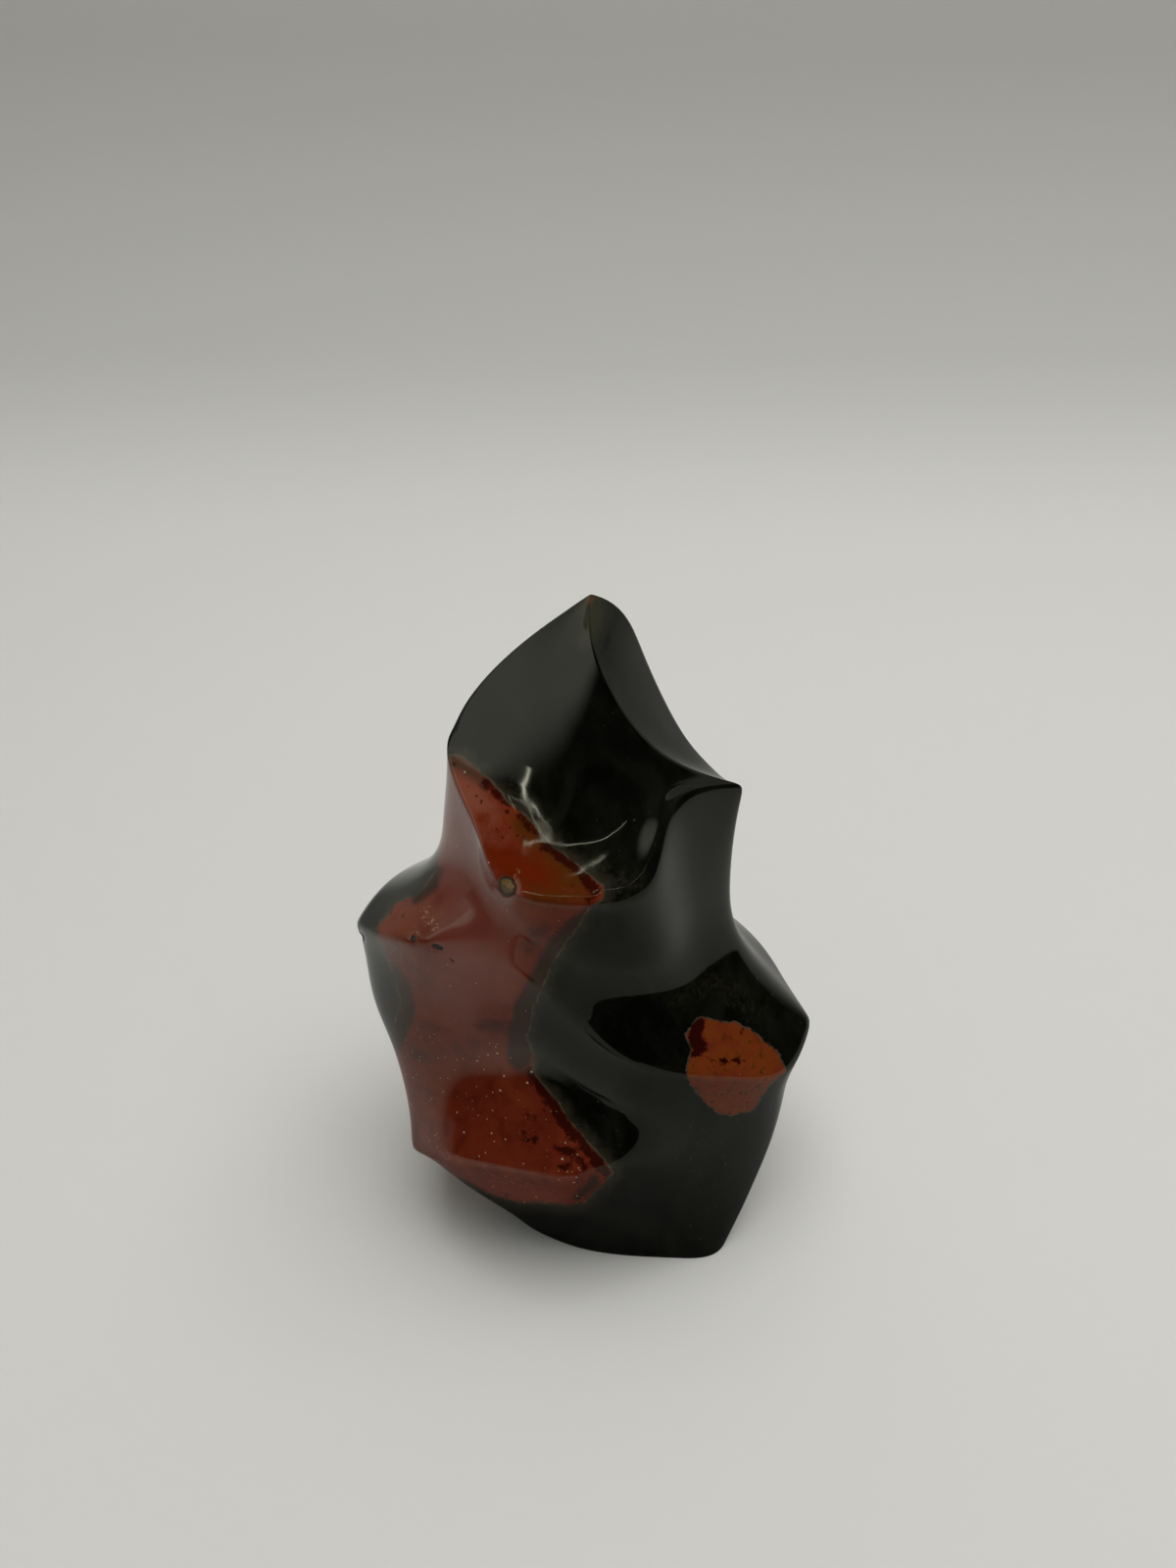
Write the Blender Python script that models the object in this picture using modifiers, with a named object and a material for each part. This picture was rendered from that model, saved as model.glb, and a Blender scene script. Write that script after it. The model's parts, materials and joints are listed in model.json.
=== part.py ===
"""A polished jasper flame, carved from one stone.

The flame is a coarse cage of rings, from the tip down to the flat spot that it rests on. Four of the rings
are ridges that the carver left standing: the shoulder, the arms, the skirt and the foot. The rings between
them are pulled in towards the middle, which makes the scooped hollows. Creases keep the ridges crisp where
they are crisp on the stone, and Subdivision Surface rounds the rest.

Points are in millimetres. X is to the right, Y is away from the viewer, Z is up.
"""
import bmesh
import bpy
from mathutils import Vector

MM = 0.001
NAME = "flame_stone"
COLLECTION = "jasper_flame"
LEVELS = 2

# Column 0 is the left edge and column 8 the right edge. Columns 1 to 7 cross the front, 9 to 15 the back.
COLUMNS = 16
LEFT = 0
RIGHT = 8
BACK_RIDGE = 10

# Middle of the stone's outer box, taken off every point so that the box stands on the origin.
MIDDLE = Vector((0.1, -1.4, 0.0))

# Upright line that the hollows are pulled towards.
CORE = Vector((0.0, 1.0, 0.0))

TIP = (0.3, 0.0, 95.4)
FLOOR_CENTRE = (3.0, -2.0, 0.0)

# Rings of the crown, from the tip down. Each holds the left ridge, the front hollow, the front ridge, the
# slim hollow to the right of it, the back ridge and the back hollow.
CROWN = [
    [(-2.9, 0.0, 92.9), (-1.2, -0.6, 92.3), (0.0, -1.0, 93.3),
     (1.2, 0.2, 93.4), (2.7, 2.0, 93.4), (-0.6, 2.4, 92.4)],
    [(-6.5, 0.0, 90.1), (-2.8, -1.2, 88.6), (0.2, -2.0, 90.7),
     (2.3, -0.2, 90.0), (4.9, 3.5, 90.0), (-1.5, 4.6, 88.6)],
    [(-10.8, 0.0, 85.9), (-4.0, -2.4, 82.6), (1.7, -3.0, 86.3),
     (4.0, 0.0, 84.0), (6.6, 5.7, 84.0), (-2.6, 7.2, 82.0)],
    [(-14.0, -0.2, 81.7), (-4.0, -4.6, 76.2), (5.4, -3.6, 79.6),
     (7.9, 0.2, 77.0), (9.8, 6.2, 76.2), (-2.8, 9.4, 74.5)],
    [(-15.4, -0.6, 78.6), (-3.0, -9.0, 70.6), (10.6, -2.4, 74.2),
     (12.2, 0.8, 72.0), (12.8, 5.2, 71.2), (-2.6, 11.8, 67.0)],
]
CROWN_CREASE = 0.60

# Ridge that goes round under the crown: the long lip at the front and the corner at the right.
SHOULDER = [
    (-15.8, -1.6, 76.0), (-14.2, -7.0, 74.4), (-12.0, -11.0, 71.8), (-10.0, -14.0, 67.4),
    (-4.8, -15.4, 65.8), (1.8, -15.4, 65.6), (7.3, -13.2, 67.7), (10.0, -6.2, 73.0),
    (17.0, -0.6, 70.4), (17.8, 1.4, 68.9), (16.8, 4.0, 67.0), (13.0, 9.5, 63.5),
    (6.0, 13.5, 60.5), (-2.5, 14.0, 61.5), (-10.0, 11.0, 66.0), (-14.4, 5.0, 72.0),
]

# Ridge with the two arms: the left point, the right point and the soft belly between them.
ARMS = [
    (-30.4, 0.0, 47.4), (-24.8, -7.2, 52.0), (-17.7, -11.8, 55.0), (-8.6, -14.4, 53.4),
    (0.0, -15.8, 43.6), (8.6, -17.6, 39.4), (18.6, -14.8, 34.6), (26.4, -10.0, 29.8),
    (30.6, -3.0, 31.8), (27.8, 5.0, 31.4), (24.0, 11.0, 33.8), (14.5, 17.0, 38.0),
    (3.5, 19.5, 42.0), (-8.0, 18.5, 46.0), (-18.5, 12.5, 49.0), (-26.2, 5.5, 50.0),
]

# Lowest ridge: the left point that hangs over the floor, and the front edge that fades to the right.
SKIRT = [
    (-24.6, -11.5, 14.4), (-18.8, -17.2, 20.6), (-11.9, -20.4, 23.2), (-5.6, -22.2, 24.0),
    (0.0, -22.7, 24.7), (6.5, -21.4, 24.2), (14.0, -18.6, 18.0), (22.2, -14.2, 13.0),
    (27.0, -5.5, 11.5), (26.5, 4.5, 13.0), (21.5, 12.5, 16.0), (12.0, 18.0, 19.5),
    (2.0, 20.2, 21.5), (-8.5, 18.2, 19.0), (-18.0, 11.5, 15.5), (-24.5, 1.0, 13.5),
]

# Edge of the flat spot that the stone rests on.
FOOT = [
    (-13.5, -4.0, 0.0), (-12.5, -9.5, 0.0), (-9.5, -13.5, 0.0), (-5.4, -16.0, 0.0),
    (-0.6, -17.8, 0.0), (5.4, -18.8, 0.0), (12.4, -19.1, 0.0), (19.2, -17.6, 0.0),
    (21.0, -8.0, 0.0), (20.5, 1.0, 0.0), (17.5, 8.5, 0.0), (11.5, 13.5, 0.0),
    (4.0, 15.5, 0.0), (-4.0, 14.0, 0.0), (-10.0, 9.0, 0.0), (-13.5, 2.5, 0.0),
]

# Hollows: how far down each ring lies between its two ridges, and how far each column is pulled in. A
# negative pull pushes the column out, where the side is full.
HOLLOWS = {
    "neck": (0.38, (3.5, 3.5, 2.5, 1.0, 2.3, 3.6, 3.8, 3.8, 4.4, 5.0, 4.5, 4.0, 4.0, 4.0, 4.0, 3.5)),
    "waist": (0.65, (6.5, 5.0, 3.0, 1.0, 2.2, 5.2, 7.4, 8.2, 6.9, 6.5, 6.0, 5.0, 4.5, 4.5, 5.5, 6.5)),
    "belly": (0.38, (-3.0, 4.5, 4.6, 4.5, 2.7, 1.8, 1.5, 1.0, 0.5, 1.0, 3.0, 3.5, 3.5, 3.5, 2.5, -2.5)),
    "hip": (0.64, (1.2, 9.6, 7.8, 6.2, 3.6, 2.2, 1.0, 0.5, 0.0, 0.5, 2.5, 3.0, 3.5, 3.0, 1.5, -3.5)),
    "heel": (0.55, (-2.5, -2.5, -1.5, 0.0, 0.5, 0.5, 0.0, -0.5, -0.5, 0.5, 1.0, 1.5, 1.5, 1.0, -0.5, -2.0)),
}

# How crisp each ridge is between a column and the next one, from 0, soft, to 1, sharp.
CRISP = {
    "shoulder": (0.6, 0.6, 0.6, 0.6, 0.6, 0.45, 0.4, 0.45, 0.5, 0.5, 0.45, 0.35, 0.35, 0.4, 0.25, 0.05),
    "arms": (0.65, 0.6, 0.2, 0.1, 0.4, 0.6, 0.65, 0.7, 0.7, 0.6, 0.55, 0.45, 0.35, 0.4, 0.55, 0.65),
    "skirt": (0.65, 0.65, 0.65, 0.6, 0.35, 0.15, 0.1, 0.15, 0.35, 0.45, 0.45, 0.35, 0.35, 0.45, 0.55, 0.6),
    "foot": (1.0,) * COLUMNS,
}

# Points that stick out: the two arms and the left end of the skirt.
CORNERS = (("arms", LEFT), ("arms", RIGHT), ("skirt", LEFT))
CORNER_CREASE = 0.6

STONE_COLOUR = (0.022, 0.023, 0.018, 1.0)
STONE_ROUGHNESS = 0.06


def along(a, middle, b, steps):
    """Points from a towards b on the curve that passes through middle, without b itself."""
    a, middle, b = Vector(a), Vector(middle), Vector(b)
    points = []
    for step in range(steps):
        s = step / steps
        points.append(a * (1 - s) * (1 - 2 * s) + middle * 4 * s * (1 - s) + b * s * (2 * s - 1))
    return points


def crown_ring(left, front, front_ridge, slim, back_ridge, back):
    """One ring of the crown, from its three ridges and the hollows between them."""
    ring = along(left, front, front_ridge, RIGHT - LEFT)
    ring += along(front_ridge, slim, back_ridge, BACK_RIDGE - RIGHT)
    ring += along(back_ridge, back, left, COLUMNS - BACK_RIDGE)
    return ring


def ridge_ring(points, corners=()):
    """A ring of ridge points, pushed out so that the rounded ridge still passes through them."""
    wanted = [Vector(point) for point in points]
    ring = list(wanted)
    for _ in range(3):
        rounded = [(ring[i - 1] + 4 * ring[i] + ring[(i + 1) % COLUMNS]) / 6 for i in range(COLUMNS)]
        ring = [wanted[i] if i in corners else ring[i] + wanted[i] - rounded[i] for i in range(COLUMNS)]
    return ring


def hollow_ring(upper, lower, share, pulls):
    """A ring between two ridges, pulled in towards the core by each column's own amount."""
    ring = []
    for top, bottom, pull in zip(upper, lower, pulls):
        point = top.lerp(bottom, share)
        inward = (CORE - point).to_2d().normalized().to_3d()
        ring.append(point + inward * pull)
    return ring


def cage_rings():
    """Every ring by name, from the top down."""
    shoulder = ridge_ring(SHOULDER)
    arms = ridge_ring(ARMS, corners=(LEFT, RIGHT))
    skirt = ridge_ring(SKIRT, corners=(LEFT,))
    foot = ridge_ring(FOOT)
    rings = {f"crown_{number}": crown_ring(*row) for number, row in enumerate(CROWN, 1)}
    rings["shoulder"] = shoulder
    rings["neck"] = hollow_ring(shoulder, arms, *HOLLOWS["neck"])
    rings["waist"] = hollow_ring(shoulder, arms, *HOLLOWS["waist"])
    rings["arms"] = arms
    rings["belly"] = hollow_ring(arms, skirt, *HOLLOWS["belly"])
    rings["hip"] = hollow_ring(arms, skirt, *HOLLOWS["hip"])
    rings["skirt"] = skirt
    rings["heel"] = hollow_ring(skirt, foot, *HOLLOWS["heel"])
    rings["foot"] = foot
    return rings


def add_point(bm, point):
    """A cage point, from millimetres to metres and centred on the origin."""
    return bm.verts.new((Vector(point) - MIDDLE) * MM)


def loft(bm, tip, rows, centre):
    """Faces between the rings, closed with a fan at the tip and one on the flat spot."""
    for i in range(COLUMNS):
        j = (i + 1) % COLUMNS
        bm.faces.new((tip, rows[0][i], rows[0][j]))
        for upper, lower in zip(rows, rows[1:]):
            bm.faces.new((upper[i], lower[i], lower[j], upper[j]))
        bm.faces.new((rows[-1][i], centre, rows[-1][j]))


def crease_ridges(bm, tip, rows):
    """Creases along the ridges that go round, and along the three that come down from the tip."""
    edge_crease = bm.edges.layers.float["crease_edge"]
    point_crease = bm.verts.layers.float["crease_vert"]
    for name, values in CRISP.items():
        row = rows[name]
        for i, value in enumerate(values):
            bm.edges.get((row[i], row[(i + 1) % COLUMNS]))[edge_crease] = value
    crown = [row for name, row in rows.items() if name.startswith("crown")] + [rows["shoulder"]]
    for column in (LEFT, RIGHT, BACK_RIDGE):
        line = [tip] + [row[column] for row in crown]
        for a, b in zip(line, line[1:]):
            bm.edges.get((a, b))[edge_crease] = CROWN_CREASE
    for name, column in CORNERS:
        rows[name][column][point_crease] = CORNER_CREASE


def build_cage():
    """The creased cage as a closed mesh."""
    bm = bmesh.new()
    bm.edges.layers.float.new("crease_edge")
    bm.verts.layers.float.new("crease_vert")
    rows = {name: [add_point(bm, point) for point in ring] for name, ring in cage_rings().items()}
    tip = add_point(bm, TIP)
    centre = add_point(bm, FLOOR_CENTRE)
    loft(bm, tip, list(rows.values()), centre)
    crease_ridges(bm, tip, rows)
    mesh = bpy.data.meshes.new(NAME)
    bm.to_mesh(mesh)
    bm.free()
    return mesh


def stone_material():
    """Dark green-grey jasper with a high polish."""
    material = bpy.data.materials.new("polished_jasper")
    material.use_nodes = True
    shader = material.node_tree.nodes["Principled BSDF"]
    shader.inputs["Base Color"].default_value = STONE_COLOUR
    shader.inputs["Roughness"].default_value = STONE_ROUGHNESS
    shader.inputs["Metallic"].default_value = 0.0
    return material


def build_stone():
    """The stone as one object in its own collection."""
    collection = bpy.data.collections.new(COLLECTION)
    bpy.context.scene.collection.children.link(collection)
    stone = bpy.data.objects.new(NAME, build_cage())
    collection.objects.link(stone)
    stone.data.materials.append(stone_material())
    stone.data.shade_smooth()
    rounding = stone.modifiers.new("rounding", "SUBSURF")
    rounding.levels = LEVELS
    rounding.render_levels = LEVELS
    return stone


for existing in list(bpy.data.objects):
    bpy.data.objects.remove(existing)
build_stone()
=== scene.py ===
# %% [markdown]
# # A jasper flame, carved from one stone
#
# The object is a standing flame, sawn and ground from one lump of jasper and polished all over. It has no
# parts to put together: what makes it is its shape, its coloured patches and its wet-looking gloss. The
# steps below follow that order. First comes the carved body, then a few pits, then the patches, then the
# polish, and last a pale studio, because a stone this dark shows mostly what it reflects.

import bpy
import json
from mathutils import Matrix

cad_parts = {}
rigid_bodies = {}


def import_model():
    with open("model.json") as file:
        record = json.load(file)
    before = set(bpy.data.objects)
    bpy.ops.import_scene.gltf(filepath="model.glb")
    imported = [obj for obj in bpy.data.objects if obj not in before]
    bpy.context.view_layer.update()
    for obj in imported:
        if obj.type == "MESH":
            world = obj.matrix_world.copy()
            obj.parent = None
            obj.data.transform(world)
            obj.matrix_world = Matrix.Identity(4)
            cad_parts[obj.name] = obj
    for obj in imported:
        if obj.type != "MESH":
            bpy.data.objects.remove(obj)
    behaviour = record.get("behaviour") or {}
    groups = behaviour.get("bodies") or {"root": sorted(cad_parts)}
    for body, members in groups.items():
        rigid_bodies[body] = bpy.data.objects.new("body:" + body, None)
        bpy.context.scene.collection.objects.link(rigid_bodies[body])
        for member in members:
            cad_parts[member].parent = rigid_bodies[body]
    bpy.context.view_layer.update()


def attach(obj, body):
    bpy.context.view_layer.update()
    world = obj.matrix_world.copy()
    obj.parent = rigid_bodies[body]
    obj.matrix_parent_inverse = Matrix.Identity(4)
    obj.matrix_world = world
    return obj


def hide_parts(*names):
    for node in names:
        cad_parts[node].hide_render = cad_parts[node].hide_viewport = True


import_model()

# %% Tools and units
import json
import math

import bmesh
import bpy
import numpy as np
from mathutils import Vector, noise

MM = 0.001
NAME = "jasper_flame"
SCENE = bpy.context.scene

# %% [markdown]
# ## The body: a coarse cage that Subdivision Surface rounds
#
# A carver of such a flame leaves a few ridges standing and scoops the stone out between them. The scoops
# are smooth and the ridges are crisp where two scoops meet. Sculpting could make this shape, but nobody
# could read its sizes afterwards. So the body is a cage of rings, one for each ridge and one or two for
# each hollow, and edge creases say how crisp each ridge stays. All points are in millimetres: X to the
# right, Y away from the viewer, Z up.

# %% Columns and fixed points
COLUMNS = 16
LEFT, RIGHT, BACK_RIDGE = 0, 8, 10
MIDDLE = Vector((0.1, -1.4, 0.0))
CORE = Vector((0.0, 1.0, 0.0))
TIP = (0.3, 0.0, 95.4)
FLOOR_CENTRE = (3.0, -2.0, 0.0)
ROUNDING = 4
print(COLUMNS, "columns: 0 is the left edge, 8 the right edge, 1 to 7 cross the front")

# %% The crown, from the tip down
# Each ring: left ridge, front hollow, front ridge, slim hollow, back ridge, and the middle of the back.
CROWN = [
    [(-2.9, 0.0, 92.9), (-1.2, -0.6, 92.3), (0.0, -1.0, 93.3),
     (1.2, 0.2, 93.4), (2.7, 2.0, 93.4), (-0.6, 2.4, 92.4)],
    [(-6.5, 0.0, 90.1), (-2.8, -1.2, 88.6), (0.2, -2.0, 90.7),
     (2.3, -0.2, 90.0), (4.9, 3.5, 90.0), (-1.5, 4.6, 88.6)],
    [(-10.8, 0.0, 85.9), (-4.0, -2.4, 82.6), (1.7, -3.0, 86.3),
     (4.0, 0.0, 84.0), (6.6, 5.7, 84.0), (-2.6, 7.2, 82.0)],
    [(-14.0, -0.2, 81.7), (-4.0, -4.6, 76.2), (5.4, -3.6, 79.6),
     (7.9, 0.2, 77.0), (9.8, 6.2, 76.2), (-2.8, 9.4, 74.5)],
    [(-15.4, -0.6, 78.6), (-3.0, -9.0, 70.6), (10.6, -2.4, 74.2),
     (12.2, 0.8, 72.0), (12.8, 5.2, 71.2), (-2.6, 11.8, 67.0)],
]
CROWN_CREASE = 0.60

# %% The ridges that go round
SHOULDER = [
    (-15.8, -1.6, 76.0), (-14.2, -7.0, 74.4), (-12.0, -11.0, 71.8), (-10.0, -14.0, 67.4),
    (-4.8, -15.4, 65.8), (1.8, -15.4, 65.6), (7.3, -13.2, 67.7), (10.0, -6.2, 73.0),
    (17.0, -0.6, 70.4), (17.8, 1.4, 68.9), (16.8, 4.0, 67.0), (13.0, 9.5, 63.5),
    (6.0, 13.5, 60.5), (-2.5, 14.0, 61.5), (-10.0, 11.0, 66.0), (-14.4, 5.0, 72.0),
]
ARMS = [
    (-30.4, 0.0, 47.4), (-24.8, -7.2, 52.0), (-17.7, -11.8, 55.0), (-8.6, -14.4, 53.4),
    (0.0, -15.8, 43.6), (8.6, -17.6, 39.4), (18.6, -14.8, 34.6), (26.4, -10.0, 29.8),
    (30.6, -3.0, 31.8), (27.8, 5.0, 31.4), (24.0, 11.0, 33.8), (14.5, 17.0, 38.0),
    (3.5, 19.5, 42.0), (-8.0, 18.5, 46.0), (-18.5, 12.5, 49.0), (-26.2, 5.5, 50.0),
]
SKIRT = [
    (-24.6, -11.5, 14.4), (-18.8, -17.2, 20.6), (-11.9, -20.4, 23.2), (-5.6, -22.2, 24.0),
    (0.0, -22.7, 24.7), (6.5, -21.4, 24.2), (14.0, -18.6, 18.0), (22.2, -14.2, 13.0),
    (27.0, -5.5, 11.5), (26.5, 4.5, 13.0), (21.5, 12.5, 16.0), (12.0, 18.0, 19.5),
    (2.0, 20.2, 21.5), (-8.5, 18.2, 19.0), (-18.0, 11.5, 15.5), (-24.5, 1.0, 13.5),
]
FOOT = [
    (-13.5, -4.0, 0.0), (-12.5, -9.5, 0.0), (-9.5, -13.5, 0.0), (-5.4, -16.0, 0.0),
    (-0.6, -17.8, 0.0), (5.4, -18.8, 0.0), (12.4, -19.1, 0.0), (19.2, -17.6, 0.0),
    (21.0, -8.0, 0.0), (20.5, 1.0, 0.0), (17.5, 8.5, 0.0), (11.5, 13.5, 0.0),
    (4.0, 15.5, 0.0), (-4.0, 14.0, 0.0), (-10.0, 9.0, 0.0), (-13.5, 2.5, 0.0),
]

# %% The hollows between them
# How far down each ring lies between its two ridges, and how far each column is pulled in.
HOLLOWS = {
    "neck": (0.38, (3.5, 3.5, 2.5, 1.0, 2.3, 3.6, 3.8, 3.8, 4.4, 5.0, 4.5, 4.0, 4.0, 4.0, 4.0, 3.5)),
    "waist": (0.65, (6.5, 5.0, 3.0, 1.0, 2.2, 5.2, 7.4, 8.2, 6.9, 6.5, 6.0, 5.0, 4.5, 4.5, 5.5, 6.5)),
    "belly": (0.38, (-3.0, 4.5, 4.6, 4.5, 2.7, 1.8, 1.5, 1.0, 0.5, 1.0, 3.0, 3.5, 3.5, 3.5, 2.5, -2.5)),
    "hip": (0.64, (1.2, 9.6, 7.8, 6.2, 3.6, 2.2, 1.0, 0.5, 0.0, 0.5, 2.5, 3.0, 3.5, 3.0, 1.5, -3.5)),
    "heel": (0.55, (-2.5, -2.5, -1.5, 0.0, 0.5, 0.5, 0.0, -0.5, -0.5, 0.5, 1.0, 1.5, 1.5, 1.0, -0.5, -2.0)),
}

# %% How crisp each ridge is, from 0 for soft to 1 for sharp
CRISP = {
    "shoulder": (0.6, 0.6, 0.6, 0.6, 0.6, 0.45, 0.4, 0.45, 0.5, 0.5, 0.45, 0.35, 0.35, 0.4, 0.25, 0.05),
    "arms": (0.65, 0.6, 0.2, 0.1, 0.4, 0.6, 0.65, 0.7, 0.7, 0.6, 0.55, 0.45, 0.35, 0.4, 0.55, 0.65),
    "skirt": (0.65, 0.65, 0.65, 0.6, 0.35, 0.15, 0.1, 0.15, 0.35, 0.45, 0.45, 0.35, 0.35, 0.45, 0.55, 0.6),
    "foot": (1.0,) * COLUMNS,
}
CORNERS = (("arms", LEFT), ("arms", RIGHT), ("skirt", LEFT))
CORNER_CREASE = 0.6


# %% [markdown]
# The crown's rings are curves through a few points. A ridge ring is pushed out a little first, because
# Subdivision Surface rounds it back in, and the finished ridge should pass through the points above. A
# hollow ring lies between two ridges and is pulled towards the stone's core.

# %% Rings from their points
def along(a, middle, b, steps):
    """Points from a towards b on the curve that passes through middle, without b itself."""
    a, middle, b = Vector(a), Vector(middle), Vector(b)
    shares = [step / steps for step in range(steps)]
    return [a * (1 - s) * (1 - 2 * s) + middle * 4 * s * (1 - s) + b * s * (2 * s - 1) for s in shares]


def crown_ring(left, front, front_ridge, slim, back_ridge, back):
    """One ring of the crown, from its three ridges and the hollows between them."""
    ring = along(left, front, front_ridge, RIGHT - LEFT)
    ring += along(front_ridge, slim, back_ridge, BACK_RIDGE - RIGHT)
    return ring + along(back_ridge, back, left, COLUMNS - BACK_RIDGE)


def ridge_ring(points, corners=()):
    """Ridge points, pushed out so that the rounded ridge still passes through them."""
    wanted = [Vector(point) for point in points]
    ring = list(wanted)
    for _ in range(3):
        rounded = [(ring[i - 1] + 4 * ring[i] + ring[(i + 1) % COLUMNS]) / 6 for i in range(COLUMNS)]
        ring = [wanted[i] if i in corners else ring[i] + wanted[i] - rounded[i] for i in range(COLUMNS)]
    return ring


def hollow_ring(upper, lower, share, pulls):
    """A ring between two ridges, pulled in towards the core by each column's own amount."""
    ring = []
    for top, bottom, pull in zip(upper, lower, pulls):
        point = top.lerp(bottom, share)
        ring.append(point + (CORE - point).to_2d().normalized().to_3d() * pull)
    return ring


# %% All rings, from the top down
shoulder, foot = ridge_ring(SHOULDER), ridge_ring(FOOT)
arms, skirt = ridge_ring(ARMS, corners=(LEFT, RIGHT)), ridge_ring(SKIRT, corners=(LEFT,))
rings = {f"crown_{number}": crown_ring(*row) for number, row in enumerate(CROWN, 1)}
rings["shoulder"] = shoulder
rings["neck"] = hollow_ring(shoulder, arms, *HOLLOWS["neck"])
rings["waist"] = hollow_ring(shoulder, arms, *HOLLOWS["waist"])
rings["arms"] = arms
rings["belly"] = hollow_ring(arms, skirt, *HOLLOWS["belly"])
rings["hip"] = hollow_ring(arms, skirt, *HOLLOWS["hip"])
rings["skirt"] = skirt
rings["heel"] = hollow_ring(skirt, foot, *HOLLOWS["heel"])
rings["foot"] = foot
print(len(rings), "rings:", ", ".join(rings))


# %% The cage as a closed mesh with creases
def loft(bm, tip, rows, centre):
    """Faces between the rings, closed with a fan at the tip and one on the flat spot."""
    for i in range(COLUMNS):
        j = (i + 1) % COLUMNS
        bm.faces.new((tip, rows[0][i], rows[0][j]))
        for upper, lower in zip(rows, rows[1:]):
            bm.faces.new((upper[i], lower[i], lower[j], upper[j]))
        bm.faces.new((rows[-1][i], centre, rows[-1][j]))


def crease_ridges(bm, tip, rows):
    """Creases along the ridges that go round, and along the three that come down from the tip."""
    edge_crease = bm.edges.layers.float["crease_edge"]
    point_crease = bm.verts.layers.float["crease_vert"]
    for name, values in CRISP.items():
        for i, value in enumerate(values):
            bm.edges.get((rows[name][i], rows[name][(i + 1) % COLUMNS]))[edge_crease] = value
    crown = [row for name, row in rows.items() if name.startswith("crown")] + [rows["shoulder"]]
    for column in (LEFT, RIGHT, BACK_RIDGE):
        line = [tip] + [row[column] for row in crown]
        for a, b in zip(line, line[1:]):
            bm.edges.get((a, b))[edge_crease] = CROWN_CREASE
    for name, column in CORNERS:
        rows[name][column][point_crease] = CORNER_CREASE


def build_cage():
    """The creased cage, in metres and centred on the origin."""
    bm = bmesh.new()
    bm.edges.layers.float.new("crease_edge")
    bm.verts.layers.float.new("crease_vert")

    def add_point(point):
        return bm.verts.new((Vector(point) - MIDDLE) * MM)

    rows = {name: [add_point(point) for point in ring] for name, ring in rings.items()}
    tip, centre = add_point(TIP), add_point(FLOOR_CENTRE)
    loft(bm, tip, list(rows.values()), centre)
    crease_ridges(bm, tip, rows)
    mesh = bpy.data.meshes.new("flame_cage")
    bm.to_mesh(mesh)
    bm.free()
    return mesh


cage = bpy.data.objects.new("flame_cage", build_cage())
SCENE.collection.objects.link(cage)
print("cage:", len(cage.data.vertices), "points,", len(cage.data.polygons), "faces")


# %% [markdown]
# Four rounds of subdivision give faces of about 0.4 mm. That is fine enough for the soft ridges, for the
# small pits, and for the patch outlines that are stored on the mesh's points further down.

# %% The rounded body as a plain mesh
def plain_mesh(source, name):
    """The evaluated shape of an object as a new mesh of its own, after which the source is gone."""
    graph = bpy.context.evaluated_depsgraph_get()
    mesh = bpy.data.meshes.new_from_object(source.evaluated_get(graph))
    mesh.name = name
    bpy.data.objects.remove(source)
    return mesh


rounding = cage.modifiers.new("rounding", "SUBSURF")
rounding.levels = rounding.render_levels = ROUNDING
body = bpy.data.objects.new(NAME, plain_mesh(cage, NAME))
SCENE.collection.objects.link(body)
for layer in ("crease_edge", "crease_vert"):
    if layer in body.data.attributes:
        body.data.attributes.remove(body.data.attributes[layer])
body.data.shade_smooth()
print("body:", len(body.data.polygons), "faces")

# %% [markdown]
# ## Where the patches lie: outlines thrown onto the stone
#
# The colours of this stone are bodies of red jasper grown into dark green-grey jasper. Each has its own
# outline, which no noise texture would give. A painted image is out of the question, so each outline is a
# short list of points as the viewer sees them, and every point of the mesh stores how far it lies inside.
# The shader later frays that smooth distance with noise, so a few points are enough for a natural edge.

# %% The viewer's eye
# The viewer looks down at 38 degrees. Positions are pixels of a frame that is 1200 wide and 1600 high.
FRAME_WIDTH, FRAME_HEIGHT = 1200, 1600
FOCAL_PIXELS = 1200.0
LOOK_DOWN = math.radians(38.0)
EYE_BACK, EYE_HEIGHT = 109.0, 155.3  # in front of the stone and above the floor, in millimetres
PIXEL = 0.142  # what one pixel covers on the stone, in millimetres


def seen_at(points):
    """Where the viewer sees each point, in pixels. Points are in millimetres, before the body was centred."""
    forward = points[:, 1] + EYE_BACK
    drop = EYE_HEIGHT - points[:, 2]
    depth = forward * math.cos(LOOK_DOWN) + drop * math.sin(LOOK_DOWN)
    down = drop * math.cos(LOOK_DOWN) - forward * math.sin(LOOK_DOWN)
    return np.column_stack((FRAME_WIDTH / 2 + FOCAL_PIXELS * points[:, 0] / depth,
                            FRAME_HEIGHT / 2 + FOCAL_PIXELS * down / depth))


# %% Every mesh point, and how far round the back it lies
places = np.empty(3 * len(body.data.vertices))
body.data.vertices.foreach_get("co", places)
places = places.reshape(-1, 3) / MM + np.array(MIDDLE)

BACK_START, BACK_FULL = 1.0, 15.0
# On the far side the outlines wander, so that they don't mirror the front.
WANDER, WANDER_SIZE, WANDER_SEED = 8.0, 16.0, 2
behind = np.clip((places[:, 1] - BACK_START) / (BACK_FULL - BACK_START), 0, 1)
behind = behind * behind * (3 - 2 * behind)
noise.seed_set(WANDER_SEED)  # without it, this noise would change with the clock
drift = np.array([noise.noise_vector(Vector(point) / WANDER_SIZE) for point in places])
spots = seen_at(places + drift * (WANDER * behind)[:, None])
print("share of points round the back:", round(float((behind > 0.5).mean()), 2))


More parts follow.
